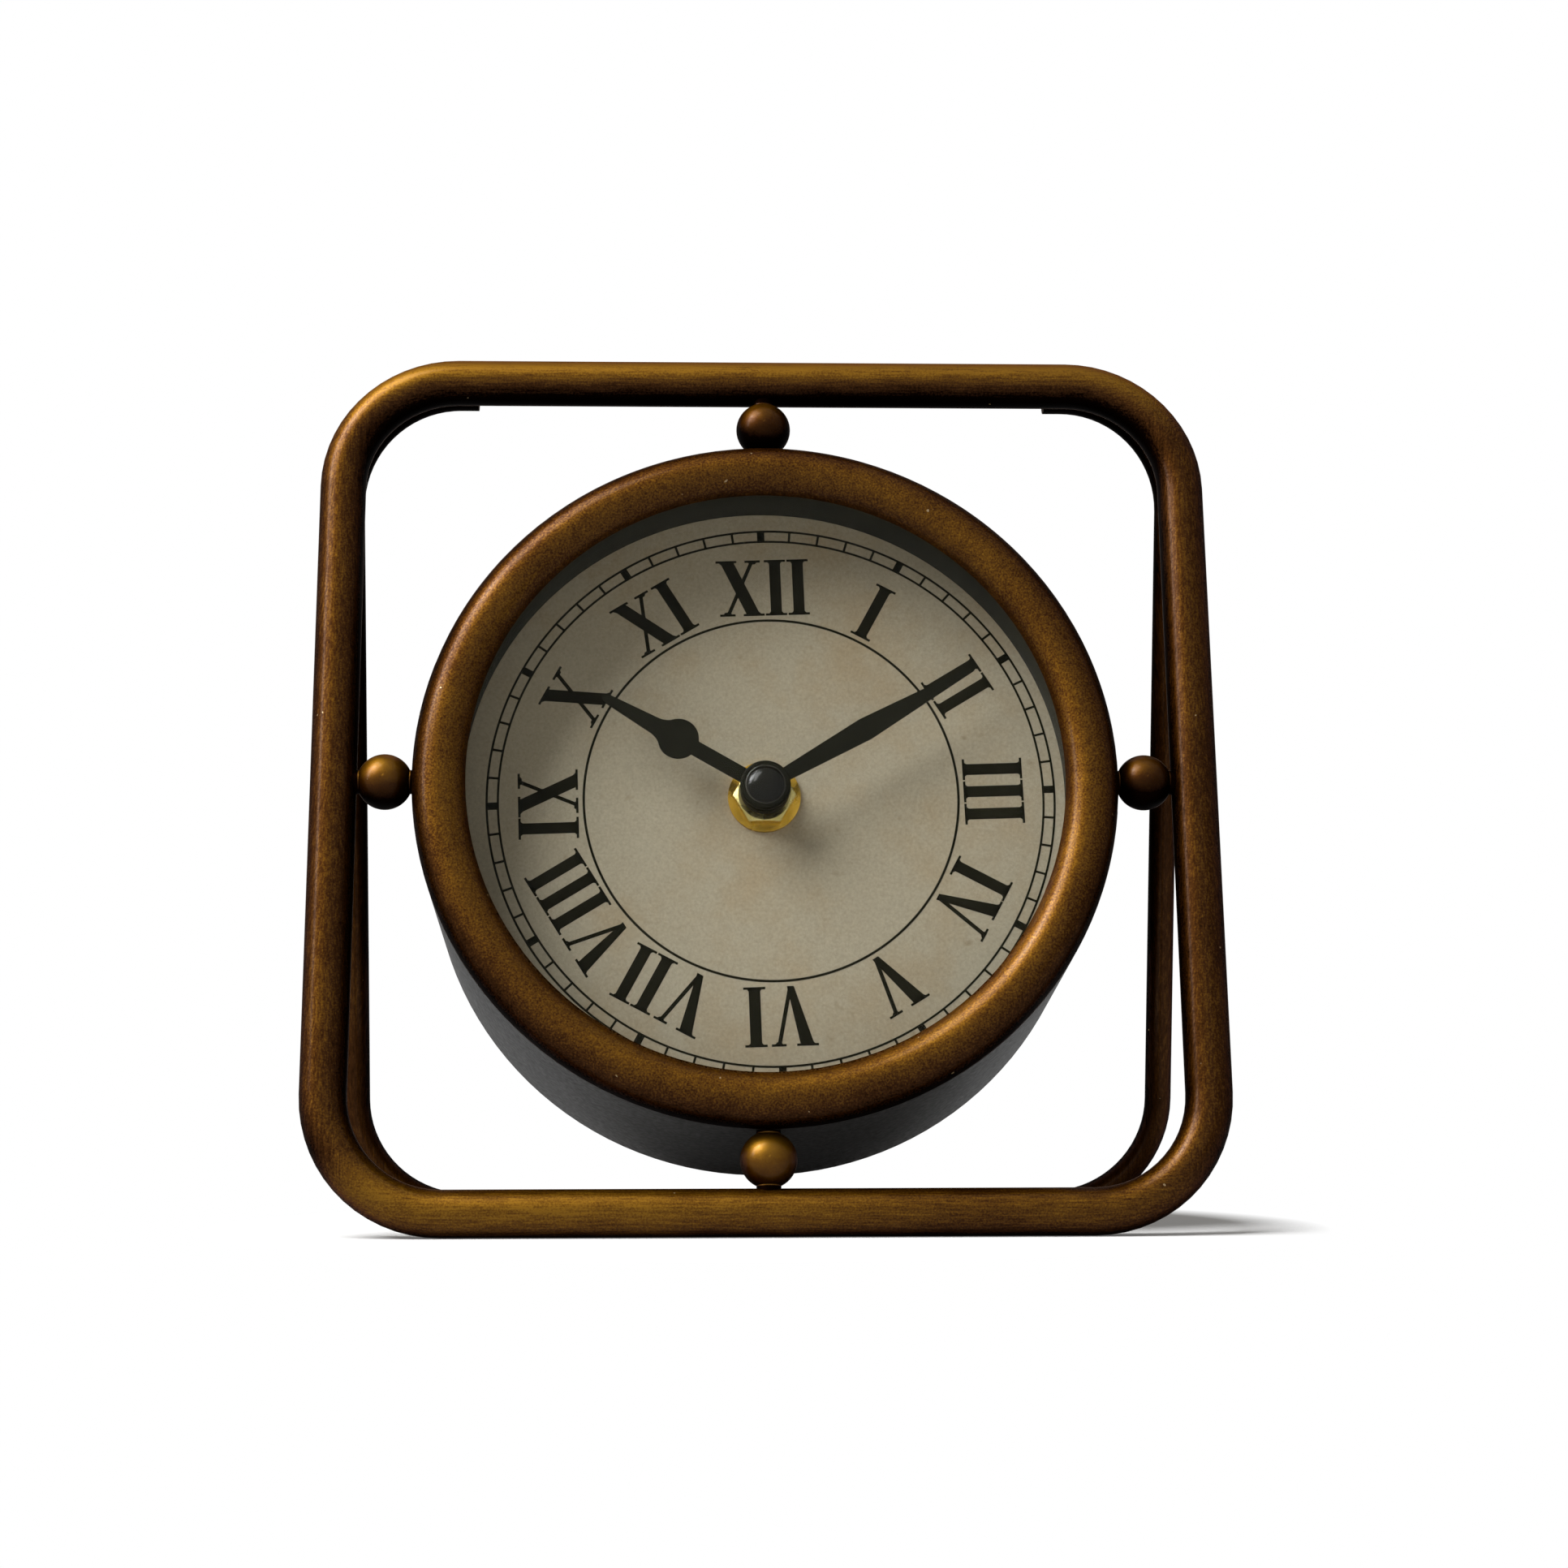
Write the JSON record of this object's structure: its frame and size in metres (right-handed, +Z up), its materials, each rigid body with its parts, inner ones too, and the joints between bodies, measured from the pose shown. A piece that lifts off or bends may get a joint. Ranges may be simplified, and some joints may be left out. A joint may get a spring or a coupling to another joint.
{
  "type": "table clock",
  "caption": "Table clock with a round drum case held by balls in a leaning square bar frame, a bent rod rear leg, Roman dial, hands and a battery movement.",
  "frame": {"origin": "middle of the bounding box's bottom face, on the table", "axes": "+X to the viewer's right, +Y away from the viewer, +Z up; the dial faces -Y and leans back"},
  "size_m": [0.196, 0.0952, 0.1926],
  "materials": {
    "bronze_paint": "antique bronze paint with a fine brushed grain",
    "case_paint": "dark gunmetal paint, satin",
    "black_plastic": "moulded matt black",
    "white_plastic": "natural moulded",
    "glass": "clear flat glass",
    "dial_paper": "aged beige print",
    "plate_steel": "plain grey primer",
    "brass": "turned",
    "steel": "bright",
    "board": "phenolic board",
    "copper_wire": "enamelled copper wire",
    "rubber": "matt",
    "cell_wrap": null,
    "hand_paint": "matt olive black"
  },
  "bodies": {
    "clock": {"front_frame": "bronze_paint", "rear_leg": "bronze_paint", "ball_top": "bronze_paint", "ball_bottom": "bronze_paint", "ball_left": "bronze_paint", "ball_right": "bronze_paint", "bezel": "bronze_paint", "case_drum": "case_paint", "case_back": "case_paint", "seat_ring": "case_paint", "glass": "glass", "spacer_ring": "black_plastic", "dial_paper": "dial_paper", "dial_plate": "plate_steel", "gasket": "rubber", "brass_washer": "brass", "hex_nut": "brass", "movement_front": "black_plastic", "movement_back": "black_plastic", "motor_module": "white_plastic", "stator": "steel", "coil_bobbin": "white_plastic", "coil_winding": "copper_wire", "circuit_board": "board", "chip": "black_plastic", "crystal": "steel", "contact_plus": "steel", "contact_minus": "steel"},
    "minute_body": {"minute_arbor": "brass", "minute_hand": "hand_paint", "cap_nut": "hand_paint"},
    "hour_body": {"hour_wheel": "white_plastic", "hour_hand": "hand_paint"},
    "set_body": {"transfer_wheel": "white_plastic", "set_knob": "black_plastic"},
    "battery_body": {"battery": "cell_wrap"}
  },
  "joints": [
    {"name": "minute_spin", "type": "hinge", "parent": "clock", "child": "minute_body", "pos_m": [0, -0.02484, 0.09629], "axis": [0, 0.9816, -0.1908], "continuous": true},
    {"name": "hour_spin", "type": "hinge", "parent": "clock", "child": "hour_body", "pos_m": [0, -0.02484, 0.09629], "axis": [0, 0.9816, -0.1908], "continuous": true},
    {"name": "set_spin", "type": "hinge", "parent": "clock", "child": "set_body", "pos_m": [0, -0.02293, 0.10611], "axis": [0, 0.9816, -0.1908], "continuous": true},
    {"name": "battery_slide", "type": "slide", "parent": "clock", "child": "battery_body", "axis": [0, 0.9816, -0.1908], "range_m": [0, 0.06]}
  ],
  "couplings": [
    {"joint": "hour_spin", "follows": "minute_spin", "ratio": 0.083333},
    {"joint": "set_spin", "follows": "minute_spin", "ratio": -0.33333}
  ]
}
